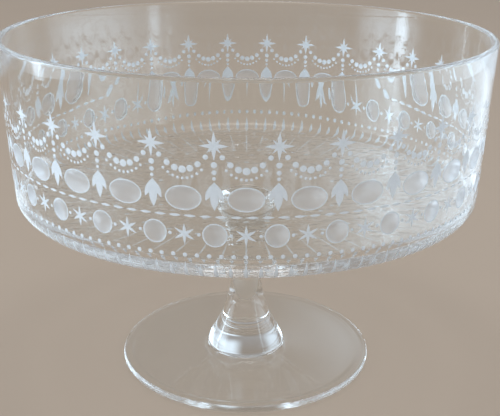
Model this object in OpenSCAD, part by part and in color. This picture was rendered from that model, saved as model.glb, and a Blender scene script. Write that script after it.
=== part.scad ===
// Footed glass trifle bowl, in millimetres.
// A wide straight-sided bowl stands on a drawn stem and a round foot. The four pieces of clear
// glass are joined hot, one flat face on another: foot, stem, button and bowl from the table up.
// The origin is the middle of the foot on the table, and +Z points up the axis of the stem.

/* [Bowl] */
// Outside diameter across the rim
rim_d = 220; // [180:1:270]
// Outside diameter at the bottom of the wall, before that corner is rounded
base_d = 213; // [170:1:260]
// Height from the bottom corner of the wall to the rim
bowl_h = 76.5; // [50:0.5:120]
// Thickness of the wall, which the rim rounds off
wall_t = 3; // [2:0.1:5]
// Thickness of the floor
floor_t = 5.5; // [4:0.1:9]
// Fall of the floor from the corner to its middle
floor_fall = 4.5; // [0.5:0.1:12]
// Rounding of the outside corner
corner_r = 8; // [3:0.5:12]
// Rounding of the inside corner
inside_r = 6; // [3:0.5:16]

/* [Button] */
// Diameter of the button of glass between the stem and the bowl
button_d = 28.8; // [22:0.2:40]
// Thickness of the button, whose edge is a half round
button_t = 2.6; // [1.4:0.1:6]

/* [Stem] */
// Length of the stem, from the foot to the button
stem_h = 72.4; // [60:0.2:140]
// Diameter of the stem where it stands on the foot
stem_base_d = 37.2; // [30:0.2:50]
// Greatest diameter of the head of the stem
stem_head_d = 28.6; // [22:0.2:36]
// Diameter of the waist, the narrowest place
waist_d = 14.4; // [9:0.2:20]
// Height of the waist above the bottom of the stem
waist_h = 40; // [25:0.5:55]
// Rounding of the bell at the bottom of the stem
bell_r = 11; // [4:0.5:14]
// Rounding of the head at the top of the stem
head_r = 4; // [3.6:0.1:8]
// Height of the top face of the stem above the widest place of the head
head_rise = 3.5; // [1.5:0.1:3.8]

/* [Foot] */
// Diameter of the foot
foot_d = 123; // [90:1:170]
// Thickness of the foot at its half-round edge
foot_edge_t = 3.1; // [2:0.1:6]
// Rise of the foot from its edge to the stem
hub_rise = 1.9; // [0.5:0.1:8]
// Flat shoulder of the foot round the bottom of the stem
hub_shoulder = 0.8; // [0.2:0.1:4]
// Width of the flat ring that the foot stands on
rest_w = 9; // [4:0.5:20]
// Depth of the hollow inside that ring
foot_hollow = 1.2; // [0.2:0.1:2]

/* [Hidden] */
$fn = 180;

// Greatest gap between a round stretch of an outline and its chords
chord_gap = 0.02;
glass_tint = [0.87, 0.93, 0.93, 0.6];

rim_r = rim_d / 2;
base_r = base_d / 2;
rim_round = wall_t / 2;
button_round = button_t / 2;
stem_base_r = stem_base_d / 2;
stem_head_r = stem_head_d / 2;
waist_r = waist_d / 2;

// The flat faces of the button, and so the seat under the bowl, end where its edge begins
seat_r = button_d / 2 - button_round;

// Levels of the joint faces, from the table up
stem_z = foot_edge_t + hub_rise;
button_z = stem_z + stem_h;
seat_z = button_z + button_t;
corner_z = seat_z + floor_fall;
rim_z = corner_z + bowl_h;

// Unit direction from point a to point b, and the angle of a direction from the +X axis
function toward(a, b) = (b - a) / norm(b - a);
function angle_of(d) = atan2(d[1], d[0]);

// Meeting point of the line through a along u with the line through b along v
function crossing(a, u, b, v) =
    let (w = b - a)
    a + u * ((w[0] * v[1] - w[1] * v[0]) / (u[0] * v[1] - u[1] * v[0]));

// Points of an arc of radius r round c, from one angle to another, with chords as fine as chord_gap
function arc(c, r, from, to) =
    let (steps = ceil(abs(to - from) / (2 * acos(1 - chord_gap / r))))
    [for (i = [0:steps]) let (a = from + (to - from) * i / steps) c + r * [cos(a), sin(a)]];

// Points of the round of radius r in the corner at p, from the side that leaves p along u to the
// side that leaves it along v
function corner_round(p, u, v, r) =
    let (
        c = p + toward([0, 0], u + v) * (r / sqrt((1 - u * v) / 2)),
        start = p + u * ((c - p) * u),
        end = p + v * ((c - p) * v)
    )
    arc(c, r, angle_of(start - c), angle_of(end - c));

// Clear bowl: a slightly tapering wall, a rounded corner, a floor that falls to the middle, a
// flat seat under it for the button, and a rim polished to a half round.
module bowl() {
    corner = [base_r, corner_z];
    up = toward(corner, [rim_r, rim_z - rim_round]);
    out = [up[1], -up[0]];
    inward = toward(corner, [seat_r, seat_z]);

    // The middle of the wall's thickness runs up to the centre of the rim's round
    rim_c = crossing([0, rim_z - rim_round], [1, 0], corner - out * rim_round, up);
    cavity_z = seat_z + floor_t;
    cavity_corner = crossing([seat_r, cavity_z], inward, corner - out * wall_t, up);

    color(glass_tint)
    rotate_extrude()
    polygon(concat(
        [[0, seat_z], [seat_r, seat_z]],
        corner_round(corner, inward, up, corner_r),
        arc(rim_c, rim_round, angle_of(out), angle_of(out) + 180),
        corner_round(cavity_corner, up, inward, inside_r),
        [[seat_r, cavity_z], [0, cavity_z]]
    ));
}

// Button: the flattened drop of glass that joins the head of the stem to the bowl.
module stem_button() {
    color(glass_tint)
    translate([0, 0, button_z])
    rotate_extrude()
    polygon(concat(
        [[0, 0]],
        arc([seat_r, button_round], button_round, -90, 90),
        [[0, button_t]]
    ));
}

// Outline of one flared end of the stem, from its widest place at level 0 up to the waist. A lip
// of radius lip_r turns into the one flare that touches it and stands upright at the waist.
function flared_end(end_r, lip_r, waist_rise) =
    let (
        lip_c = [end_r - lip_r, 0],
        neck = waist_r - lip_c[0],
        flare_r = (neck * neck + waist_rise * waist_rise - lip_r * lip_r) / (2 * (end_r - waist_r)),
        flare_c = [waist_r + flare_r, waist_rise],
        turn = angle_of(flare_c - lip_c)
    )
    concat(arc(lip_c, lip_r, 0, turn), arc(flare_c, flare_r, 180 + turn, 180));

// Drawn stem: a bell that stands on the foot, a waist and a rounded head.
module stem() {
    head_z = stem_h - head_rise;
    bell = flared_end(stem_base_r, bell_r, waist_h);
    head = flared_end(stem_head_r, head_r, head_z - waist_h);

    color(glass_tint)
    translate([0, 0, stem_z])
    rotate_extrude()
    polygon(concat(
        [[0, 0]],
        bell,
        [for (i = [len(head) - 2:-1:0]) [head[i][0], head_z - head[i][1]]],
        arc([stem_head_r - head_r, head_z], head_r, 0, asin(head_rise / head_r)),
        [[0, stem_h]]
    ));
}

// Foot: a thin disc with a half-round edge that sweeps up to the stem and stands on a flat ring.
module foot() {
    edge_round = foot_edge_t / 2;
    edge_x = foot_d / 2 - edge_round;
    sweep_w = edge_x - stem_base_r - hub_shoulder;
    sweep_r = (sweep_w * sweep_w + hub_rise * hub_rise) / (2 * hub_rise);
    sweep_c = [edge_x, foot_edge_t + sweep_r];

    color(glass_tint)
    rotate_extrude()
    polygon(concat(
        [[0, foot_hollow], [edge_x - rest_w, 0]],
        arc([edge_x, edge_round], edge_round, -90, 90),
        arc(sweep_c, sweep_r, -90, -90 - asin(sweep_w / sweep_r)),
        [[0, stem_z]]
    ));
}

bowl();
stem_button();
stem();
foot();
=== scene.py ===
"""Footed trifle bowl in clear glass, with satin lens cuts and a frosted border.

Lengths are in metres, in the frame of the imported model: +Z runs up the stem and the foot stands on
z = 0. Angles round the bowl are counted from the front, which is -Y, towards +X.
"""

import math

import bmesh
import bpy
import numpy as np
from bpy.props import FloatProperty, FloatVectorProperty, IntProperty, PointerProperty
from mathutils import Matrix, Vector


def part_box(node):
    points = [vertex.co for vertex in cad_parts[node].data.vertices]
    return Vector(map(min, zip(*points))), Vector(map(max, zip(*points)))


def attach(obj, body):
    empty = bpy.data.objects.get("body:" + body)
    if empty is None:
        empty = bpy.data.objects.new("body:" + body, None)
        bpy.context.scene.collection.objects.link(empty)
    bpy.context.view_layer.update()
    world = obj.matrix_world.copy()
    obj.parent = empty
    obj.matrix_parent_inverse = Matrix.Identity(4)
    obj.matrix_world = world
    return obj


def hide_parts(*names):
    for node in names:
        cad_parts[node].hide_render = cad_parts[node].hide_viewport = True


bl_info = {
    "name": "Footed Trifle Bowl",
    "version": (1, 0, 0),
    "blender": (4, 5, 0),
    "location": "View3D > Sidebar > Trifle Bowl",
    "description": "Builds a footed glass bowl with lens cuts and a frosted border of swags and stars",
    "category": "Add Mesh",
}

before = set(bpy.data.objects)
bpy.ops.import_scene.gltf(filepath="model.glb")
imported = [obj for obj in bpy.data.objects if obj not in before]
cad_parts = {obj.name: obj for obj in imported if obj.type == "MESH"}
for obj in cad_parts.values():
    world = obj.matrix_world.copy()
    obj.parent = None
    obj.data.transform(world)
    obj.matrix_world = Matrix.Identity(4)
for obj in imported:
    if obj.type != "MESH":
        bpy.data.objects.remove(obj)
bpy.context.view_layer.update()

MM = 0.001
BODY = "root"
GLASS_SLOT = "clear_glass"
FROST_SLOT = "frosted_glass"

# Steps round the bowl in one repeat of the border, and steps up each side of a lens cell
STEPS_PER_REPEAT = 12
CELL_SIDE_STEPS = 10
# Rings of a lens cell: shares of the cut's ellipse, then shares of the way from it to the cell's edge
CUT_RINGS = np.array((0.0, 0.25, 0.5, 0.72, 0.88, 0.97, 1.0))
CELL_RINGS = np.array((0.05, 0.35, 1.0))
# Steps round the other pieces and round the floor
BUTTON_STEPS = 96
STEM_STEPS = 128
FOOT_STEPS = 192
FLOOR_STEPS = 64
# Points this close are one point
MERGE_DISTANCE = 1e-6
# An edge sharper than this is shaded as a crease
CREASE_ANGLE = math.radians(40)

# Material indices within a piece: open face, face fused to other glass, satin hollow of a lens cut,
# and rippled floor of the bowl
OPEN_FACE, FUSED_FACE, SATIN_FACE, RIPPLED_FACE = range(4)

# Most of a noise lies between these values
NOISE_SPAN = (0.3, 0.7)
# From this slant on, 1 for edge on, glass holds lamp light back
SLANT_START = 0.6
BLACK = (0.0, 0.0, 0.0)

# The floor of the stage, and the heights of view between which the backdrop changes colour
FLOOR_RADIUS = 6.0
FLOOR_GAP = 0.1 * MM
BACKDROP_SPAN = (0.3, 0.75)
LIGHT_BOUNCES = 64

# Kinds of rays that a light shows to: it sheds light by the first and is seen in glass by the others
SHED = ("diffuse",)
SEEN = ("glossy", "transmission")
BOTH = SHED + SEEN
EVEN_TINT = (1.0, 0.98, 0.96)
COOL = (0.64, 0.83, 1.0)
DAYLIGHT = (0.72, 0.87, 1.0)
WARM = (1.0, 0.98, 0.95)
# The lights: where each stands, the way it faces, its width and height, its tint and its kinds of rays
PANELS = {
    "left_window": ((-0.75, -0.05, 0.28), (1, 0, 0), (0.75, 1.0), COOL, BOTH),
    "right_window": ((0.7, 0.1, 0.28), (-1, 0, 0), (1.1, 1.0), COOL, BOTH),
    "left_strip": ((-0.7, 0.06, 0.25), (1, 0, 0), (0.14, 0.8), COOL, BOTH),
    "right_strip": ((0.6, -0.42, 0.25), (-0.6, 0.42, 0), (0.14, 0.8), COOL, BOTH),
    "left_card": ((-0.15, 0.04, 0.035), (1, 0, 0), (0.12, 0.09), COOL, SEEN),
    "right_card": ((0.25, -0.03, 0.07), (-1, 0, 0), (0.8, 0.35), COOL, SEEN),
    "back_left": ((-0.67, 0.8, 0.6), (0.67, -0.8, -0.55), (0.8, 0.7), COOL, BOTH),
    "back_right": ((0.67, 0.8, 0.6), (-0.67, -0.8, -0.55), (0.8, 0.7), COOL, BOTH),
    "back_card": ((0.31, 0.9, 0.44), (-0.31, -0.9, -0.35), (0.6, 0.45), COOL, SEEN),
    "front_light": ((-0.85, -0.95, 0.4), (0.85, 0.95, -0.28), (0.9, 0.6), DAYLIGHT, SHED),
    "top_light": ((0, 0.1, 1.3), (0, 0, -1), (0.9, 0.7), WARM, BOTH),
}
# The one light that falls on the floor too, where it leaves the soft shadow of the bowl
FLOOR_LIGHT = "top_light"


def node_radius(node):
    """Largest radius of a turned CAD node, in millimetres."""
    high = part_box(node)[1]
    return max(high.x, high.y) / MM


# Heights of the joints between the pieces, and of the rim
STEM_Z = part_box("stem")[0].z
BUTTON_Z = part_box("stem_button")[0].z
SEAT_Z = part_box("bowl")[0].z
RIM_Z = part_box("bowl")[1].z


def length(label, text, value):
    """A length that a user can set, from its default in millimetres."""
    return FloatProperty(
        name=label, description=text, default=value * MM, min=0.0, unit="LENGTH", precision=4
    )


def colour(label, text, value):
    """A colour that a user can set."""
    return FloatVectorProperty(
        name=label, description=text, default=value, min=0.0, max=1.0, subtype="COLOR"
    )


def number(label, text, value):
    """A plain number that a user can set."""
    return FloatProperty(name=label, description=text, default=value)


def brightness(label, value):
    """The brightness of a light, which a user can set."""
    return number(label, f"Brightness of the {label.lower()}, 1 for white", value)


class GlassSizes(bpy.types.PropertyGroup):
    """Sizes of the bowl, button, stem and foot."""

    rim_radius: length("Rim radius", "Outside radius of the rim", node_radius("bowl"))
    base_radius: length("Base radius", "Outside radius at the corner of the wall", 106.5)
    wall: length("Wall", "Thickness of the wall", 3)
    floor: length("Floor", "Thickness of the floor", 5.5)
    floor_fall: length("Floor fall", "Fall of the floor to its middle", 4.5)
    calm_radius: length("Calm radius", "Radius of the smooth middle of the floor", 40)
    corner: length("Corner", "Rounding of the outside corner", 8)
    inside: length("Inside corner", "Rounding of the inside corner", 6)
    button_radius: length("Button radius", "Radius of the button", node_radius("stem_button"))
    base_bell: length("Bell", "Rounding of the bell of the stem", 11)
    base_of_stem: length("Stem base", "Radius of the stem on the foot", node_radius("stem"))
    waist: length("Waist", "Radius of the stem at its waist", 7.2)
    waist_height: length("Waist height", "Height of the waist above the foot", 40)
    head: length("Head", "Greatest radius of the head", 14.3)
    head_round: length("Head rounding", "Rounding of the head", 4)
    head_rise: length("Head rise", "Height of the head over its widest place", 3.5)
    foot_radius: length("Foot radius", "Radius of the foot", node_radius("foot"))
    foot_edge: length("Foot edge", "Thickness of the foot at its edge", 3.1)
    hub_shoulder: length("Shoulder", "Shoulder of the foot round the stem", 0.8)
    rest_width: length("Rest ring", "Width of the ring that the foot stands on", 9)
    hollow: length("Hollow", "Depth of the hollow under the foot", 1.2)
    bead_width: length("Bead width", "Width of the bead inside the edge of the foot", 4.5)
    bead_dip: length("Bead dip", "Depth of the groove inside that bead", 0.3)
    weld: length("Weld", "Fillet of fused glass round the stem", 2)


class CutSizes(bpy.types.PropertyGroup):
    """Sizes of the lens cuts and of the frosted border."""

    repeats: IntProperty(name="Repeats", description="Repeats of the border round the bowl", default=30)
    cut_depth: length("Cut depth", "Depth of a lens cut in its middle", 1.3)
    olive_z: length("Olive height", "Height of the row of olive cuts", 117.5)
    olive_half_width: length("Olive half width", "Half the width of an olive cut", 6.2)
    olive_half_height: length("Olive half height", "Half the height of an olive cut", 4.2)
    printy_z: length("Printy height", "Height of the row of round cuts", 103.5)
    printy_radius: length("Printy radius", "Radius of a round cut", 4.1)
    cell_margin: length("Cell margin", "Plain glass above and below a cut", 1.3)
    ring_width: length("Ring width", "Width of the frosted line round a cut", 0.55)
    star_z: length("Star height", "Height of the large stars", 137.2)
    star_ray: length("Star ray", "Length of the long rays of a star", 5.4)
    star_width: length("Star width", "Width of a ray of a star", 1.5)
    swag_sag: length("Swag sag", "Fall of a swag to its middle", 9)
    strand_gap: length("Strand gap", "Gap between the strands of a swag", 3.3)
    pearl: length("Pearl", "Radius of the largest pearls", 1.42)
    husk_z: length("Husk height", "Height of the top of a husk", 124)
    husk_length: length("Husk length", "Length of the middle petal of a husk", 11)
    husk_width: length("Husk width", "Width of the middle petal of a husk", 3.2)
    leaf_z: length("Leaf height", "Height of the line of small leaves", 110.7)
    leaf_length: length("Leaf length", "Length of a small leaf", 4.6)
    leaf_width: length("Leaf width", "Width of a small leaf", 1.1)
    bead_z: length("Bead height", "Height of the line of beads", 95.2)
    flute_top_z: length("Flute top", "Height of the tops of the flutes", 92.8)
    flute_end_radius: length("Flute end", "Radius where the flutes end", 95)
    flute_width: length("Flute width", "Width of a flute", 1.6)
    ray_start_radius: length("Ray start", "Outer radius of the rays", 91)
    ray_end_radius: length("Ray end", "Inner radius of the long rays", 47)
    ray_width: length("Ray width", "Width of a ray under the floor", 0.7)
    frost_proud: length("Frost rise", "Rise of a frosted mark over the glass", 0.05)
    frost_sink: length("Frost edge", "Depth of the edge of a frosted mark", 0.03)
    frost_depth: length("Frost depth", "Depth of a frosted mark in the glass", 0.12)


class FinishColours(bpy.types.PropertyGroup):
    """Colours and levels of the finishes."""

    glass: colour("Glass", "Tint of the clear glass", (0.975, 0.985, 0.982))
    glass_shade: colour("Glass shade", "Share of lamp light that a face lets through", (0.98, 0.982, 0.982))
    glass_ior: number("Glass index", "Index of refraction of the glass", 1.5)
    satin: colour("Satin", "Tint of the satin in the lens cuts", (0.93, 0.95, 0.98))
    satin_clear: number("Satin clearness", "Share of light that passes through the satin", 0.85)
    frost: colour("Frost", "Colour of the frosted marks", (0.86, 0.905, 0.95))
    floor: colour("Floor", "Colour of the floor", (0.66, 0.57, 0.485))
    backdrop: colour("Backdrop", "Colour seen just over the edge of the floor", (0.29, 0.25, 0.21))
    backdrop_top: colour("Backdrop top", "Colour of the top of the backdrop", (0.36, 0.36, 0.37))


class StageSettings(bpy.types.PropertyGroup):
    """The camera and the lights."""

    camera_distance: length("Camera distance", "Distance of the camera in front of the stem", 401.4)
    camera_height: length("Camera height", "Height of the camera over the table", 220.6)
    camera_pitch: number("Camera pitch", "Degrees that the camera looks down", 19.87)
    camera_yaw: number("Camera yaw", "Degrees that the camera looks to the right", 0.25)
    camera_roll: number("Camera roll", "Degrees that the camera leans", 0.39)
    focal_length: number("Focal length", "Focal length in millimetres on a 36 mm sensor", 63.63)
    fill: number("Fill", "Strength of the even light from all round", 0.55)
    left_window: brightness("Left window", 4.0)
    right_window: brightness("Right window", 2.3)
    left_strip: brightness("Left strip", 8.0)
    right_strip: brightness("Right strip", 3.0)
    left_card: brightness("Left card", 1.5)
    right_card: brightness("Right card", 1.1)
    back_left: brightness("Left panel behind", 0.5)
    back_right: brightness("Right panel behind", 0.55)
    back_card: brightness("Low panel behind", 0.85)
    front_light: brightness("Front light", 15.0)
    top_light: brightness("Top light", 3.0)


def unit(vector):
    """The vector at a length of one."""
    return vector / np.linalg.norm(vector)


def full_turn(count):
    """Even angles once round, from 0."""
    return np.arange(count) * (2 * math.pi / count)


def grid_points(x, y, z):
    """Points from their coordinates, each an array that spreads over the same grid."""
    return np.stack(np.broadcast_arrays(x, y, z), axis=-1)


def around_axis(r, theta, z):
    """Points at the radius r, the angle theta from the front and the height z."""
    return grid_points(r * np.sin(theta), -r * np.cos(theta), z)


def arc(centre, radius, start, end, count):
    """Points (r, z) on the circle round centre, at even angles from start to end."""
    angle = np.linspace(start, end, count)
    return np.column_stack((centre[0] + radius * np.cos(angle), centre[1] + radius * np.sin(angle)))


def crossing(a, u, b, v):
    """Where the line through a along u meets the line through b along v."""
    w = b - a
    return a + u * ((w[0] * v[1] - w[1] * v[0]) / (u[0] * v[1] - u[1] * v[0]))


def corner_round(point, u, v, radius, count):
    """The round in the corner at point, from the side along u to the side along v.

    Its centre lies on the bisector of the two sides, at radius from both.
    """
    centre = point + unit(u + v) * radius / math.sqrt((1 - u @ v) / 2)
    start = point + u * ((centre - point) @ u) - centre
    end = point + v * ((centre - point) @ v) - centre
    return arc(centre, radius, math.atan2(start[1], start[0]), math.atan2(end[1], end[0]), count)


class BowlOutline:
    """Half section of the bowl: its outside from the seat to the rim, the rim, and its inside."""

    def __init__(self, glass):
        half = glass.wall / 2
        self.seat_radius = glass.button_radius - (SEAT_Z - BUTTON_Z) / 2
        seat = np.array((self.seat_radius, SEAT_Z))
        corner = np.array((glass.base_radius, SEAT_Z + glass.floor_fall))
        up = unit(np.array((glass.rim_radius, RIM_Z - half)) - corner)
        out = np.array((up[1], -up[0]))
        inward = unit(seat - corner)
        level = np.array((1.0, 0.0))
        rim_centre = crossing(np.array((0.0, RIM_Z - half)), level, corner - out * half, up)
        lean = math.atan2(out[1], out[0])
        cavity_seat = seat + np.array((0.0, glass.floor))
        cavity_corner = crossing(cavity_seat, inward, corner - out * glass.wall, up)
        self.outer_round = corner_round(corner, inward, up, glass.corner, 48)
        self.underside = np.linspace(seat, self.outer_round[0], 60)
        self.wall = np.linspace(self.outer_round[-1], rim_centre + out * half, 120)
        self.rim = arc(rim_centre, half, lean, lean + math.pi, 15)
        self.inner_round = corner_round(cavity_corner, up, inward, glass.inside, 18)
        self.inner_wall = np.linspace(self.rim[-1], self.inner_round[0], 5)
        slope = np.linspace(self.inner_round[-1], cavity_seat, 12)
        self.inner_floor = np.vstack((slope, (0.0, cavity_seat[1])))


class OuterSkin:
    """The outside of the bowl as a path measured from the seat, round the corner and up to the rim."""

    def __init__(self, outline):
        self.path = np.vstack((outline.underside, outline.outer_round[1:], outline.wall[1:]))
        step = np.linalg.norm(np.diff(self.path, axis=0), axis=1)
        self.along = np.concatenate(([0.0], np.cumsum(step)))
        tangent = np.gradient(self.path, self.along, axis=0)
        normal = np.column_stack((tangent[:, 1], -tangent[:, 0]))
        self.normal = normal / np.linalg.norm(normal, axis=1, keepdims=True)
        self.round_start = self.along[len(outline.underside) - 1]
        self.wall_start = self.along[len(outline.underside) + len(outline.outer_round) - 2]

    def radius(self, w):
        """Radius at the path length w."""
        return np.interp(w, self.along, self.path[:, 0])

    def height(self, w):
        """Height at the path length w."""
        return np.interp(w, self.along, self.path[:, 1])

    def at_height(self, z):
        """Path length at the height z on the wall."""
        return np.interp(z, self.path[:, 1], self.along)

    def at_radius(self, r):
        """Path length at the radius r under the floor."""
        under = self.along <= self.round_start
        return np.interp(r, self.path[under, 0], self.along[under])

    def stretch(self, start, end, count):
        """Points (r, z) at even path lengths from start to end."""
        w = np.linspace(start, end, count)
        return np.column_stack((self.radius(w), self.height(w)))

    def place(self, theta, w, lift):
        """Points at the angle theta and path length w, moved out along the normal by lift."""
        r = self.radius(w) + lift * np.interp(w, self.along, self.normal[:, 0])
        z = self.height(w) + lift * np.interp(w, self.along, self.normal[:, 1])
        return around_axis(r, theta, z)


def border(scene):
    """The sizes of the border, and the skin of the bowl that carries it."""
    return scene.trifle_cuts, OuterSkin(BowlOutline(scene.trifle_glass))


def grid_faces(rows, columns, wrap_rows=False, wrap_columns=False):
    """Corner indices of the quads of a grid of points, which may close on itself either way."""
    i = np.arange(rows if wrap_rows else rows - 1)[:, None]
    j = np.arange(columns if wrap_columns else columns - 1)
    up = (i + 1) % rows
    right = (j + 1) % columns
    corners = ((i, j), (i, right), (up, right), (up, j))
    return np.stack([row * columns + column for row, column in corners], axis=-1).reshape(-1, 4)


def copied(points, faces, kinds):
    """One part of many copies, from the grids of all their points and the faces and kinds of one."""
    shift = np.arange(len(points))[:, None, None] * points[0, ..., 0].size
    return points.reshape(-1, 3), (faces + shift).reshape(-1, 4), np.tile(kinds, len(points))


def turned(path, kinds, count):
    """The surface that a path (r, z) sweeps when it is turned once round the axis.

    kinds gives the material index of each stretch between two points of the path, or one for all.
    """
    points = around_axis(path[:, :1], full_turn(count), path[:, 1:])
    faces = grid_faces(len(path), count, wrap_columns=True)
    return points.reshape(-1, 3), faces, np.repeat(np.broadcast_to(kinds, len(path) - 1), count)


def add_object(name, data):
    """A new object in the scene."""
    item = bpy.data.objects.new(name, data)
    bpy.context.scene.collection.objects.link(item)
    return item


def make_piece(name, parts, look, replaced=None):
    """Joins parts (points, quads, material indices) into one closed mesh object that rides on the body.

    Points that coincide are merged, which closes seams and poles, and the faces are turned outwards.
    The materials take the names of the finishes in the look, and the pieces share them.
    """
    slot, finishes = look
    points, faces, kinds = zip(*parts)
    shifts = np.cumsum([0, *map(len, points)])
    faces = np.vstack([quads + shift for quads, shift in zip(faces, shifts)])
    mesh = bpy.data.meshes.new(name)
    mesh.from_pydata(np.vstack(points), [], faces.tolist())
    mesh.polygons.foreach_set("material_index", np.concatenate(kinds).astype(np.int32))
    for finish in finishes:
        mesh.materials.append(material(finish.__name__, finish))
    work = bmesh.new()
    work.from_mesh(mesh)
    bmesh.ops.remove_doubles(work, verts=work.verts, dist=MERGE_DISTANCE)
    bmesh.ops.recalc_face_normals(work, faces=work.faces)
    work.to_mesh(mesh)
    work.free()
    mesh.polygons.foreach_set("use_smooth", np.ones(len(mesh.polygons), dtype=bool))
    mesh.set_sharp_from_angle(angle=CREASE_ANGLE)
    mesh.update()
    piece = add_object(name, mesh)
    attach(piece, BODY)
    if replaced:
        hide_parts(replaced)


def feed(tree, socket, value):
    """Links a socket to the output of another node, or sets a plain value on it."""
    if isinstance(value, bpy.types.NodeSocket):
        tree.links.new(value, socket)
    else:
        socket.default_value = value


def add_node(tree, kind, **values):
    """A shader node. A keyword feeds the input of that name, with an underscore for each space."""
    node = tree.nodes.new("ShaderNode" + kind)
    for name, value in values.items():
        feed(tree, node.inputs[name.replace("_", " ")], value)
    return node


def add_math(tree, operation, first, second):
    """The result of an operation on two values, each an output of another node or a number."""
    node = add_node(tree, "Math")
    node.operation = operation
    feed(tree, node.inputs[0], first)
    feed(tree, node.inputs[1], second)
    return node.outputs["Value"]


def two_tone(tree, share, first, second):
    """A colour that goes from the first to the second as the share goes from 0 to 1."""
    mix = add_node(tree, "Mix")
    mix.data_type = "RGBA"
    feed(tree, mix.inputs["Factor"], share)
    feed(tree, mix.inputs["A"], (*first, 1.0))
    feed(tree, mix.inputs["B"], (*second, 1.0))
    return mix.outputs["Result"]


def mix_shaders(tree, share, first, second):
    """The first shader, with a share of the second in its place."""
    mix = add_node(tree, "MixShader", Fac=share)
    feed(tree, mix.inputs[1], first.outputs[0])
    feed(tree, mix.inputs[2], second.outputs[0])
    return mix


def add_noise(tree, scale, detail, upright=1.0):
    """A noise on Object coordinates, with its scale times upright along Z."""
    place = add_node(tree, "TexCoord").outputs["Object"]
    mapping = add_node(tree, "Mapping", Vector=place, Scale=(1.0, 1.0, upright))
    noise = add_node(tree, "TexNoise", Vector=mapping.outputs["Vector"], Scale=scale, Detail=detail)
    return noise.outputs["Fac"]


def add_range(tree, value, span, low=0.0, high=1.0):
    """A value that runs over a span, spread from low to high."""
    start, end = span
    spread = add_node(tree, "MapRange", Value=value, From_Min=start, From_Max=end, To_Min=low, To_Max=high)
    return spread.outputs["Result"]


def material(name, finish):
    """The material of that name, made once. Its finish adds nodes to a tree and returns the shader."""
    if name not in bpy.data.materials:
        made = bpy.data.materials.new(name)
        made.use_nodes = True
        made.node_tree.nodes.clear()
        shader = finish(made.node_tree)
        add_node(made.node_tree, "OutputMaterial", Surface=shader.outputs[0])
    return bpy.data.materials[name]


def add_glass(tree, tint, clear, **values):
    """The surface of a glass of that tint, clear to that share, with other inputs fed by keywords.

    Lamp light and bounced light go straight through it, less of them where the glass stands at a slant.
    """
    colours = bpy.context.scene.trifle_colours
    surface = add_node(tree, "BsdfPrincipled", Base_Color=(*tint, 1.0), Transmission_Weight=clear, **values)
    feed(tree, surface.inputs["IOR"], colours.glass_ior)
    slant = add_node(tree, "LayerWeight").outputs["Facing"]
    lost = add_range(tree, slant, (SLANT_START, 1.0))
    lamp_light = add_node(tree, "BsdfTransparent", Color=two_tone(tree, lost, colours.glass_shade, BLACK))
    path = add_node(tree, "LightPath")
    for ray in ("Is Diffuse Ray", "Is Shadow Ray"):
        surface = mix_shaders(tree, path.outputs[ray], surface, lamp_light)
    return surface


def blown_glass(tree, wave_scale, wave_depth, streak_depth):
    """Clear glass with waves of a scale and depth, and with the faint upright streaks of blown work."""
    smear = add_range(tree, add_noise(tree, 35.0, 3.0), NOISE_SPAN, 0.0, 0.02)
    streaks = add_noise(tree, 260.0, 2.0, upright=0.05)
    waves = add_noise(tree, wave_scale, 1.0, upright=0.4)
    fine = add_node(tree, "Bump", Height=streaks, Distance=streak_depth).outputs["Normal"]
    slow = add_node(tree, "Bump", Height=waves, Distance=wave_depth, Normal=fine).outputs["Normal"]
    return add_glass(tree, bpy.context.scene.trifle_colours.glass, 1.0, Roughness=smear, Normal=slow)


def polished_glass(tree):
    """Clear glass with slow shallow waves."""
    return blown_glass(tree, wave_scale=30.0, wave_depth=0.05 * MM, streak_depth=0.01 * MM)


def rippled_glass(tree):
    """Clear glass with the close ripples that the tools leave in the floor of a blown bowl."""
    return blown_glass(tree, wave_scale=190.0, wave_depth=0.2 * MM, streak_depth=0.01 * MM)


def spun_glass(tree):
    """Clear glass with slow waves and hardly a streak, as a foot that is spun out has."""
    return blown_glass(tree, wave_scale=20.0, wave_depth=0.04 * MM, streak_depth=0.001 * MM)


def satin_cut(tree):
    """The hollow of a lens cut, ground to a pale satin that blurs what lies behind it."""
    colours = bpy.context.scene.trifle_colours
    grain = add_range(tree, add_noise(tree, 400.0, 3.0), NOISE_SPAN, 0.35, 0.43)
    return add_glass(tree, colours.satin, colours.satin_clear, Roughness=grain)


def fused_glass(tree):
    """A face inside the glass, where two pieces are fused: light passes straight on."""
    return add_node(tree, "BsdfTransparent")


def wheel_frosting(tree):
    """Wheel-frosted glass: a fine white grain that scatters light to both sides."""
    white = bpy.context.scene.trifle_colours.frost
    grain_shade = 0.8
    grain = add_noise(tree, 2600.0, 2.0)
    tone = two_tone(tree, grain, grain_shade * white, white)
    bump = add_node(tree, "Bump", Height=grain, Distance=0.02 * MM).outputs["Normal"]
    matt = add_node(tree, "BsdfPrincipled", Base_Color=tone, Roughness=0.7, Normal=bump)
    through = add_node(tree, "BsdfTranslucent", Color=tone)
    return mix_shaders(tree, 0.3, matt, through)


# Looks of the pieces: a slot, and its finishes in the order of the material indices
CUT_GLASS = (GLASS_SLOT, (polished_glass, fused_glass, satin_cut, rippled_glass))
PLAIN_GLASS = (GLASS_SLOT, (spun_glass, fused_glass))
FROST = (FROST_SLOT, (wheel_frosting, fused_glass))


def repeat_angles(cuts, offset):
    """Angles in every repeat of the border, at one or more offsets that are shares of a repeat.

    There is a row for each repeat and a column for each offset.
    """
    return (np.arange(cuts.repeats)[:, None] + offset) * (2 * math.pi / cuts.repeats)


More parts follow.
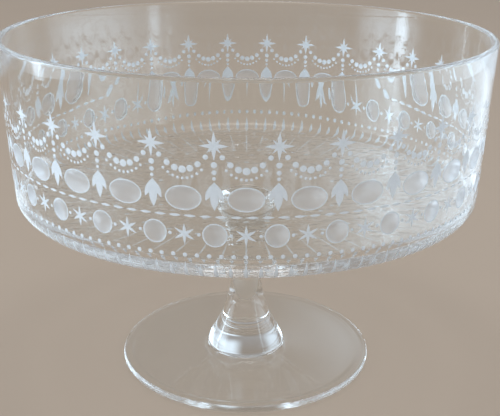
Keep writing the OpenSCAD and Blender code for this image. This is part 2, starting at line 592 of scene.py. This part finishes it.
def lens_row(skin, cuts, centre_z, half_width, half_height, offset):
    """One row of lens cuts, each in a cell of the wall, and the row's lower and upper path lengths.

    A cell is a polar patch. Its rings grow from the middle of the cut to the cut's ellipse and then
    blend to the edge of the cell. Inside the ellipse the wall is hollowed by depth * (1 - ring**2).
    """
    middle = skin.at_height(centre_z)
    mean_radius = skin.radius(middle)
    cell_half_width = mean_radius * math.pi / cuts.repeats
    cell_half_height = half_height + cuts.cell_margin
    across = np.linspace(-1, 1, STEPS_PER_REPEAT + 1)[:-1]
    upward = np.linspace(-1, 1, CELL_SIDE_STEPS + 1)[:-1]
    edge_p = np.concatenate((across, np.ones(CELL_SIDE_STEPS), -across, -np.ones(CELL_SIDE_STEPS)))
    edge_q = np.concatenate((-np.ones(STEPS_PER_REPEAT), upward, np.ones(STEPS_PER_REPEAT), -upward))
    edge = np.stack((edge_p * cell_half_width, edge_q * cell_half_height))
    turn = np.arctan2(edge[1] / half_height, edge[0] / half_width)
    oval = np.stack((half_width * np.cos(turn), half_height * np.sin(turn)))
    inside = CUT_RINGS[:, None, None] * oval
    outside = oval + CELL_RINGS[:, None, None] * (edge - oval)
    rings = np.concatenate((inside, outside))
    depth = np.concatenate((cuts.cut_depth * (1 - CUT_RINGS**2), np.zeros(len(CELL_RINGS))))
    theta = repeat_angles(cuts, offset)[..., None] + rings[:, 0] / mean_radius
    points = skin.place(theta, middle + rings[:, 1], -depth[:, None])
    faces = grid_faces(len(rings), len(edge_p), wrap_columns=True)
    kinds = np.repeat((SATIN_FACE, OPEN_FACE), (len(CUT_RINGS) - 1, len(CELL_RINGS)))
    row = copied(points, faces, np.repeat(kinds, len(edge_p)))
    return row, middle - cell_half_height, middle + cell_half_height


def pad_section(cuts):
    """Heights of a frosted mark over the glass: at its top, at its edge and at its underside."""
    return cuts.frost_proud, -cuts.frost_sink, -cuts.frost_depth


def pearl_shape(cuts, spokes=14):
    """A round mark of radius one: rings from the top of its dome to its edge and under to its middle."""
    top, edge, under = pad_section(cuts)
    ring = np.array((0.0, 0.7, 1.0, 0.0))[:, None]
    rise = np.array((top, 0.6 * top, edge, under))[:, None]
    angle = full_turn(spokes)
    shape = grid_points(ring * np.cos(angle), ring * np.sin(angle), rise)
    kinds = np.repeat((OPEN_FACE, OPEN_FACE, FUSED_FACE), spokes)
    return shape, grid_faces(4, spokes, wrap_columns=True), kinds


def blade_shape(cuts, reach, width, belly=0.5, stations=7):
    """A pointed mark from the origin up along v.

    Its half width is half the width times sin(pi * s**e) at the share s of its length, with e set so
    that it is widest at belly.
    """
    top, edge, under = pad_section(cuts)
    s = np.linspace(0, 1, stations)[:, None]
    swell = np.clip(np.sin(math.pi * s ** (math.log(0.5) / math.log(belly))), 0.0, 1.0)
    side = np.array((-1.0, 0.0, 1.0, 0.0))
    rise = np.array((edge, top, edge, under))
    lift = edge + (rise - edge) * np.minimum(1.0, 2 * swell)
    shape = grid_points(side * swell * width / 2, s * reach, lift)
    kinds = np.tile((OPEN_FACE, OPEN_FACE, FUSED_FACE, FUSED_FACE), stations - 1)
    return shape, grid_faces(stations, 4, wrap_columns=True), kinds


def ring_shape(cuts, half_width, half_height, spokes=44):
    """A frosted line of even width just outside the ellipse of a cut."""
    top, edge, under = pad_section(cuts)
    angle = full_turn(spokes)[:, None]
    out = np.array((0.02, 0.5, 1.0, 0.5)) * cuts.ring_width
    rise = np.array((edge, top, edge, under))
    shape = grid_points((half_width + out) * np.cos(angle), (half_height + out) * np.sin(angle), rise)
    kinds = np.tile((OPEN_FACE, OPEN_FACE, FUSED_FACE, FUSED_FACE), spokes)
    return shape, grid_faces(spokes, 4, wrap_rows=True, wrap_columns=True), kinds


def marks(cuts, skin, made, offset, w, size=1.0, turn=0.0):
    """Copies of a mark in every repeat of the border, at offsets that are shares of a repeat and at path
    lengths w, each with its size and turn.

    A point (u, v) of the mark is scaled, turned in the surface and laid at w + v and at the angle
    theta + u / radius, so the mark follows the wall, the corner and the underside alike.
    """
    shape, faces, kinds = made
    spread = np.broadcast_arrays(repeat_angles(cuts, offset), w, size, turn)
    theta, w, size, turn = (np.ravel(values)[:, None, None] for values in spread)
    u = size * (shape[..., 0] * np.cos(turn) - shape[..., 1] * np.sin(turn))
    v = size * (shape[..., 0] * np.sin(turn) + shape[..., 1] * np.cos(turn))
    along = w + v
    points = skin.place(theta + u / skin.radius(along), along, shape[..., 2])
    return copied(points, faces, kinds)


def flared_end(end_radius, lip, waist, rise, counts):
    """Path of a flared end of the stem, from its widest place at level 0 up to the waist.

    A lip of that radius turns into the one arc that touches it and stands upright at the waist.
    """
    lip_centre = np.array((end_radius - lip, 0.0))
    neck = waist - lip_centre[0]
    flare = (neck**2 + rise**2 - lip**2) / (2 * (end_radius - waist))
    flare_centre = np.array((waist + flare, rise))
    turn = math.atan2(*(flare_centre - lip_centre)[::-1])
    lower = arc(lip_centre, lip, 0.0, turn, counts[0])
    upper = arc(flare_centre, flare, math.pi + turn, math.pi, counts[1])
    return np.vstack((lower, upper[1:]))


def stem_path(glass):
    """Half outline of the stem from the middle of its bottom face to the middle of its top face."""
    stem_height = BUTTON_Z - STEM_Z
    head_z = stem_height - glass.head_rise
    bell = flared_end(glass.base_of_stem, glass.base_bell, glass.waist, glass.waist_height, (24, 30))
    head = flared_end(glass.head, glass.head_round, glass.waist, head_z - glass.waist_height, (16, 24))
    head = head[::-1] * (1.0, -1.0) + (0.0, head_z)
    top_angle = math.asin(glass.head_rise / glass.head_round)
    crown = arc((glass.head - glass.head_round, head_z), glass.head_round, 0.0, top_angle, 10)
    path = np.vstack(((0.0, 0.0), bell, head[1:], crown[1:], (0.0, stem_height)))
    return path + (0.0, STEM_Z)


def bell_radius(glass, rise):
    """Radius of the bell of the stem at a height above the foot."""
    return glass.base_of_stem - glass.base_bell + np.sqrt(glass.base_bell**2 - rise**2)


def foot_path(glass):
    """Half outline of the foot, from the middle of its hollow underside to the middle of its hub.

    The top sweeps up from the half-round edge on one arc, less a groove of dip * sin(pi * s)**2 over
    the width of the bead. A fillet, a quadratic Bezier between the tangents of the sweep and of the
    bell, carries it up the stem. Also the number of stretches at its end that lie against the stem.
    """
    edge_round = glass.foot_edge / 2
    edge_r = glass.foot_radius - edge_round
    hub_rise = STEM_Z - glass.foot_edge
    sweep_width = edge_r - glass.base_of_stem - glass.hub_shoulder
    sweep = (sweep_width**2 + hub_rise**2) / (2 * hub_rise)
    turn = math.asin((edge_r - glass.base_of_stem - glass.weld) / sweep)
    top = arc((edge_r, glass.foot_edge + sweep), sweep, -math.pi / 2, -math.pi / 2 - turn, 60)
    inside_edge = np.clip((edge_r - top[:, 0]) / glass.bead_width, 0.0, 1.0)
    top[:, 1] -= glass.bead_dip * np.sin(math.pi * inside_edge) ** 2
    start = top[-1]
    end = np.array((bell_radius(glass, glass.weld), STEM_Z + glass.weld))
    elbow = np.array((glass.base_of_stem, start[1] + (start[0] - glass.base_of_stem) * math.tan(turn)))
    t = np.linspace(0, 1, 12)[1:, None]
    fillet = (1 - t) ** 2 * start + 2 * t * (1 - t) * elbow + t**2 * end
    rise = np.linspace(glass.weld, 0, 6)[1:]
    seat = np.column_stack((bell_radius(glass, rise), STEM_Z + rise))
    under = [(0.0, glass.hollow), (edge_r - glass.rest_width, 0.0)]
    edge = arc((edge_r, edge_round), edge_round, -math.pi / 2, math.pi / 2, 16)
    path = np.vstack((under, edge, top[1:], fillet, seat, (0.0, STEM_Z)))
    return path, len(seat) + 1


class TRIFLE_OT_bowl(bpy.types.Operator):
    """Blow the bowl and grind two rows of lens cuts into its wall"""

    bl_idname = "trifle.bowl"
    bl_label = "Bowl"

    def execute(self, context):
        cuts = context.scene.trifle_cuts
        glass = context.scene.trifle_glass
        outline = BowlOutline(glass)
        skin = OuterSkin(outline)
        count = cuts.repeats * STEPS_PER_REPEAT
        printies, low_start, low_end = lens_row(
            skin, cuts, cuts.printy_z, cuts.printy_radius, cuts.printy_radius, 0.5
        )
        olives, high_start, high_end = lens_row(
            skin, cuts, cuts.olive_z, cuts.olive_half_width, cuts.olive_half_height, 0.0
        )
        if not skin.wall_start < low_start < low_end <= high_start < high_end < skin.along[-1]:
            raise RuntimeError("the rows of cuts don't fit on the wall")
        seat = np.array(((0.0, SEAT_Z), (outline.seat_radius, SEAT_Z)))
        calm = skin.at_radius(glass.calm_radius)
        inside = np.vstack((outline.rim, outline.inner_wall[1:], outline.inner_round[1:]))
        rippled = outline.inner_floor[1:, 0] > glass.calm_radius
        bands = (
            (seat, FUSED_FACE),
            (skin.stretch(0.0, calm, 6), OPEN_FACE),
            (skin.stretch(calm, skin.round_start, 10), RIPPLED_FACE),
            (skin.stretch(skin.round_start, skin.wall_start, 22), OPEN_FACE),
            (skin.stretch(skin.wall_start, low_start, 3), OPEN_FACE),
            (skin.stretch(low_end, high_start, 2), OPEN_FACE),
            (skin.stretch(high_end, skin.along[-1], 6), OPEN_FACE),
            (inside, OPEN_FACE),
            (outline.inner_floor, np.where(rippled, RIPPLED_FACE, OPEN_FACE)),
        )
        parts = [printies, olives, *(turned(path, kinds, count) for path, kinds in bands)]
        make_piece("bowl_glass", parts, CUT_GLASS, "bowl")
        return {"FINISHED"}


class TRIFLE_OT_stem_button(bpy.types.Operator):
    """Press the button of glass between the stem and the bowl"""

    bl_idname = "trifle.stem_button"
    bl_label = "Button"

    def execute(self, context):
        glass = context.scene.trifle_glass
        half = (SEAT_Z - BUTTON_Z) / 2
        joint = stem_path(glass)[-2, 0]
        edge = arc((glass.button_radius - half, BUTTON_Z + half), half, -math.pi / 2, math.pi / 2, 20)
        path = np.vstack(((0.0, BUTTON_Z), (joint, BUTTON_Z), edge, (0.0, SEAT_Z)))
        kinds = np.full(len(path) - 1, OPEN_FACE)
        kinds[[0, -1]] = FUSED_FACE
        make_piece("button_glass", [turned(path, kinds, BUTTON_STEPS)], PLAIN_GLASS, "stem_button")
        return {"FINISHED"}


class TRIFLE_OT_stem(bpy.types.Operator):
    """Draw the stem with its bell, waist and head"""

    bl_idname = "trifle.stem"
    bl_label = "Stem"

    def execute(self, context):
        glass = context.scene.trifle_glass
        path = stem_path(glass)
        kinds = np.where(path[1:, 1] <= STEM_Z + glass.weld, FUSED_FACE, OPEN_FACE)
        kinds[-1] = FUSED_FACE
        make_piece("stem_glass", [turned(path, kinds, STEM_STEPS)], PLAIN_GLASS, "stem")
        return {"FINISHED"}


class TRIFLE_OT_foot(bpy.types.Operator):
    """Spin the foot out from the stem"""

    bl_idname = "trifle.foot"
    bl_label = "Foot"

    def execute(self, context):
        path, against_stem = foot_path(context.scene.trifle_glass)
        kinds = np.full(len(path) - 1, OPEN_FACE)
        kinds[-against_stem:] = FUSED_FACE
        make_piece("foot_glass", [turned(path, kinds, FOOT_STEPS)], PLAIN_GLASS, "foot")
        return {"FINISHED"}


class TRIFLE_OT_cut_rings(bpy.types.Operator):
    """Frost a fine line round every lens cut"""

    bl_idname = "trifle.cut_rings"
    bl_label = "Cut rings"

    def execute(self, context):
        cuts, skin = border(context.scene)
        oval = ring_shape(cuts, cuts.olive_half_width, cuts.olive_half_height)
        circle = ring_shape(cuts, cuts.printy_radius, cuts.printy_radius)
        parts = [
            marks(cuts, skin, oval, 0.0, skin.at_height(cuts.olive_z)),
            marks(cuts, skin, circle, 0.5, skin.at_height(cuts.printy_z)),
        ]
        make_piece("frosted_cut_rings", parts, FROST)
        return {"FINISHED"}


class TRIFLE_OT_swags(bpy.types.Operator):
    """Hang swags of pearls between the stars, and a drop of pearls under each star"""

    bl_idname = "trifle.swags"
    bl_label = "Swags"

    def execute(self, context):
        cuts, skin = border(context.scene)
        pearl = pearl_shape(cuts)
        # A strand falls by sag * (1 - share**2), where the share goes from -1 to 1 between two stars
        large = np.linspace(-0.74, 0.74, 7)
        large_z = cuts.star_z - cuts.swag_sag * (1 - large**2)
        large_size = cuts.pearl * (1 - 0.4 * np.abs(large))
        small = np.linspace(-0.62, 0.62, 9)
        small_z = cuts.star_z - cuts.strand_gap - cuts.swag_sag * (1 - small**2)
        small_size = 0.4 * cuts.pearl
        drop_z = cuts.star_z - np.array((6.9, 9.7, 12.0)) * MM
        drop_size = cuts.pearl * np.array((0.8, 0.65, 0.5))
        parts = [
            marks(cuts, skin, pearl, large / 2, skin.at_height(large_z), large_size),
            marks(cuts, skin, pearl, small / 2, skin.at_height(small_z), small_size),
            marks(cuts, skin, pearl, 0.5, skin.at_height(drop_z), drop_size),
        ]
        make_piece("frosted_swags", parts, FROST)
        return {"FINISHED"}


class TRIFLE_OT_stars(bpy.types.Operator):
    """Cut the stars that carry the swags, and the small stars between the round cuts"""

    bl_idname = "trifle.stars"
    bl_label = "Stars"

    def execute(self, context):
        cuts, skin = border(context.scene)
        ray = blade_shape(cuts, cuts.star_ray, cuts.star_width, belly=0.3)
        long_and_short = np.tile((1.0, 0.68), 4)
        small = 0.8
        parts = [
            marks(cuts, skin, ray, 0.5, skin.at_height(cuts.star_z), long_and_short, full_turn(8)),
            marks(cuts, skin, ray, 0.0, skin.at_height(cuts.printy_z), small, full_turn(6)),
        ]
        make_piece("frosted_stars", parts, FROST)
        return {"FINISHED"}


class TRIFLE_OT_husks(bpy.types.Operator):
    """Hang a husk of three petals under each drop of pearls, over a line of small lying leaves"""

    bl_idname = "trifle.husks"
    bl_label = "Husks"

    def execute(self, context):
        cuts, skin = border(context.scene)
        petal = blade_shape(cuts, cuts.husk_length, cuts.husk_width, belly=0.55, stations=9)
        hang = math.pi + np.radians((-24.0, 0.0, 24.0))
        size = np.array((0.72, 1.0, 0.72))
        leaf = blade_shape(cuts, cuts.leaf_length, cuts.leaf_width)
        parts = [
            marks(cuts, skin, petal, 0.5, skin.at_height(cuts.husk_z), size, hang),
            marks(cuts, skin, leaf, np.arange(4) / 4, skin.at_height(cuts.leaf_z), turn=-math.pi / 2),
        ]
        make_piece("frosted_husks", parts, FROST)
        return {"FINISHED"}


class TRIFLE_OT_beads(bpy.types.Operator):
    """Run a line of beads round the bowl and set pearls between the round cuts"""

    bl_idname = "trifle.beads"
    bl_label = "Beads"

    def execute(self, context):
        cuts, skin = border(context.scene)
        pearl = pearl_shape(cuts, spokes=12)
        line_size = 0.62 * cuts.pearl
        between_size = 0.5 * cuts.pearl
        parts = [
            marks(cuts, skin, pearl, np.arange(5) / 5, skin.at_height(cuts.bead_z), line_size),
            marks(cuts, skin, pearl, (-0.24, 0.24), skin.at_height(cuts.printy_z), between_size),
        ]
        make_piece("frosted_beads", parts, FROST)
        return {"FINISHED"}


class TRIFLE_OT_flutes(bpy.types.Operator):
    """Cut flutes down the wall and round the corner of the bowl"""

    bl_idname = "trifle.flutes"
    bl_label = "Flutes"

    def execute(self, context):
        cuts, skin = border(context.scene)
        top = skin.at_height(cuts.flute_top_z)
        reach = top - skin.at_radius(cuts.flute_end_radius)
        short_reach = 0.62 * reach
        short_end = top - 0.7 * reach
        long_flute = blade_shape(cuts, reach, cuts.flute_width, belly=0.6, stations=19)
        short_flute = blade_shape(cuts, short_reach, cuts.flute_width, belly=0.6, stations=15)
        parts = [
            marks(cuts, skin, long_flute, (0.0, 0.5), top - reach),
            marks(cuts, skin, short_flute, (0.25, 0.75), short_end),
        ]
        make_piece("frosted_flutes", parts, FROST)
        return {"FINISHED"}


class TRIFLE_OT_rays(bpy.types.Operator):
    """Cut the star of long and short rays under the floor, with a pearl at the end of each"""

    bl_idname = "trifle.rays"
    bl_label = "Rays under the floor"

    def execute(self, context):
        cuts, skin = border(context.scene)
        outer = skin.at_radius(cuts.ray_start_radius)
        reach = outer - skin.at_radius(cuts.ray_end_radius)
        short_reach = 0.55 * reach
        ends = outer - np.array((reach, short_reach))
        pearl_gap = 1.6 * cuts.pearl
        pearl_size = 0.8 * cuts.pearl
        long_ray = blade_shape(cuts, reach, cuts.ray_width, belly=0.8, stations=9)
        short_ray = blade_shape(cuts, short_reach, cuts.ray_width, belly=0.7, stations=9)
        parts = [
            marks(cuts, skin, long_ray, 0.0, ends[0]),
            marks(cuts, skin, short_ray, 0.5, ends[1]),
            marks(cuts, skin, pearl_shape(cuts), (0.0, 0.5), ends - pearl_gap, pearl_size),
        ]
        make_piece("frosted_rays", parts, FROST)
        return {"FINISHED"}


def fade_edges(light):
    """Fade a rectangular light from its middle to nothing at its edges, smoothly both ways."""
    light.use_nodes = True
    tree = light.node_tree
    place = add_node(tree, "NewGeometry").outputs["Parametric"]
    parts = add_node(tree, "SeparateXYZ", Vector=place)
    fades = []
    for axis in ("X", "Y"):
        from_edge = add_math(tree, "PINGPONG", parts.outputs[axis], 0.5)
        fade = add_node(tree, "MapRange", Value=from_edge, From_Max=0.4)
        fade.interpolation_type = "SMOOTHSTEP"
        fades.append(fade.outputs["Result"])
    feed(tree, tree.nodes["Emission"].inputs["Strength"], add_math(tree, "MULTIPLY", *fades))


def add_panel(name, place, facing, size, tint, rays):
    """A soft rectangular light at a place, which looks along facing and shows to those kinds of rays.

    Its power is pi * area * brightness, so that its middle is as bright as white times brightness.
    """
    light = bpy.data.lights.new(name, "AREA")
    light.shape = "RECTANGLE"
    light.size, light.size_y = size
    light.energy = math.pi * size[0] * size[1] * getattr(bpy.context.scene.trifle_stage, name)
    light.color = tint
    fade_edges(light)
    lamp = add_object(name, light)
    lamp.visible_camera = False
    for kind in BOTH:
        setattr(lamp, "visible_" + kind, kind in rays)
    lamp.location = place
    lamp.rotation_euler = Vector(facing).to_track_quat("-Z", "Y").to_euler()
    return lamp


def matt_floor(tree):
    """Pale matt floor with a faint unevenness."""
    pale = bpy.context.scene.trifle_colours.floor
    mottle_shade = 0.97
    tone = two_tone(tree, add_noise(tree, 9.0, 4.0), mottle_shade * pale, pale)
    return add_node(tree, "BsdfPrincipled", Base_Color=tone, Roughness=0.6, Specular_IOR_Level=0.2)


def add_floor():
    """A wide round floor just under the foot, and the light link that keeps a light off it."""
    angle = full_turn(FLOOR_STEPS)
    points = grid_points(FLOOR_RADIUS * np.cos(angle), FLOOR_RADIUS * np.sin(angle), -FLOOR_GAP)
    mesh = bpy.data.meshes.new("floor")
    mesh.from_pydata(points, [], [list(range(FLOOR_STEPS))])
    mesh.materials.append(material("floor", matt_floor))
    floor = add_object("floor", mesh)
    all_but_floor = bpy.data.collections.new("all_but_floor")
    all_but_floor.objects.link(floor)
    all_but_floor.collection_objects[0].light_linking.link_state = "EXCLUDE"
    return all_but_floor


def add_world():
    """Even light from all round, with the backdrop's own colour where it is seen."""
    scene = bpy.context.scene
    colours = scene.trifle_colours
    scene.world = bpy.data.worlds.new("studio")
    scene.world.use_nodes = True
    tree = scene.world.node_tree
    tree.nodes.clear()
    even = add_node(tree, "Background", Color=(*EVEN_TINT, 1.0), Strength=scene.trifle_stage.fill)
    way = add_node(tree, "TexCoord").outputs["Generated"]
    height = add_node(tree, "SeparateXYZ", Vector=way).outputs["Z"]
    climb = add_range(tree, height, BACKDROP_SPAN)
    tone = two_tone(tree, climb, colours.backdrop, colours.backdrop_top)
    seen = add_node(tree, "Background", Color=tone)
    path = add_node(tree, "LightPath")
    any_view = path.outputs["Is Camera Ray"]
    for ray in ("Is Glossy Ray", "Is Transmission Ray"):
        any_view = add_math(tree, "MAXIMUM", any_view, path.outputs[ray])
    surface = mix_shaders(tree, any_view, even, seen)
    add_node(tree, "OutputWorld", Surface=surface.outputs["Shader"])


def add_camera():
    """A camera in front of the bowl, at the height, slope and lens of the view to match."""
    stage = bpy.context.scene.trifle_stage
    lens = bpy.data.cameras.new("camera")
    lens.sensor_fit = "HORIZONTAL"
    lens.sensor_width = 36.0
    lens.lens = stage.focal_length
    camera = add_object("camera", lens)
    yaw = Matrix.Rotation(-math.radians(stage.camera_yaw), 4, "Z")
    pitch = Matrix.Rotation(math.radians(90 - stage.camera_pitch), 4, "X")
    roll = Matrix.Rotation(math.radians(stage.camera_roll), 4, "Z")
    place = Matrix.Translation((0.0, -stage.camera_distance, stage.camera_height))
    camera.matrix_world = place @ yaw @ pitch @ roll
    bpy.context.scene.camera = camera


class TRIFLE_OT_stage(bpy.types.Operator):
    """Set the camera, the pale floor and the soft lights"""

    bl_idname = "trifle.stage"
    bl_label = "Stage"

    def execute(self, context):
        add_camera()
        all_but_floor = add_floor()
        add_world()
        for name, panel in PANELS.items():
            lamp = add_panel(name, *panel)
            if name != FLOOR_LIGHT:
                lamp.light_linking.receiver_collection = all_but_floor
        context.scene.view_settings.view_transform = "Standard"
        cycles = context.scene.cycles
        for kind in ("max", "transmission", "transparent_max", "glossy"):
            setattr(cycles, kind + "_bounces", LIGHT_BOUNCES)
        cycles.caustics_refractive = False
        cycles.caustics_reflective = False
        return {"FINISHED"}


class TRIFLE_PT_panel(bpy.types.Panel):
    """Lists the pieces, their sizes and their finishes"""

    bl_label = "Trifle Bowl"
    bl_idname = "TRIFLE_PT_panel"
    bl_space_type = "VIEW_3D"
    bl_region_type = "UI"
    bl_category = "Trifle Bowl"

    def draw(self, context):
        for operator in OPERATORS:
            self.layout.operator(operator.bl_idname)
        for settings in SETTINGS:
            group = getattr(context.scene, settings)
            box = self.layout.box()
            for name in group.__annotations__:
                box.prop(group, name)


OPERATORS = (
    TRIFLE_OT_stage,
    TRIFLE_OT_bowl,
    TRIFLE_OT_stem_button,
    TRIFLE_OT_stem,
    TRIFLE_OT_foot,
    TRIFLE_OT_cut_rings,
    TRIFLE_OT_swags,
    TRIFLE_OT_stars,
    TRIFLE_OT_husks,
    TRIFLE_OT_beads,
    TRIFLE_OT_flutes,
    TRIFLE_OT_rays,
)
SETTINGS = {
    "trifle_glass": GlassSizes,
    "trifle_cuts": CutSizes,
    "trifle_colours": FinishColours,
    "trifle_stage": StageSettings,
}
CLASSES = (*SETTINGS.values(), *OPERATORS, TRIFLE_PT_panel)


def register():
    """Register the classes and hang the settings on the scene."""
    for item in CLASSES:
        bpy.utils.register_class(item)
    for name, group in SETTINGS.items():
        setattr(bpy.types.Scene, name, PointerProperty(type=group))


def unregister():
    """Take the settings off the scene and unregister the classes."""
    for name in SETTINGS:
        delattr(bpy.types.Scene, name)
    for item in reversed(CLASSES):
        bpy.utils.unregister_class(item)


def main():
    register()
    for operator in OPERATORS:
        getattr(bpy.ops.trifle, operator.bl_idname.removeprefix("trifle."))()


if __name__ == "__main__":
    main()
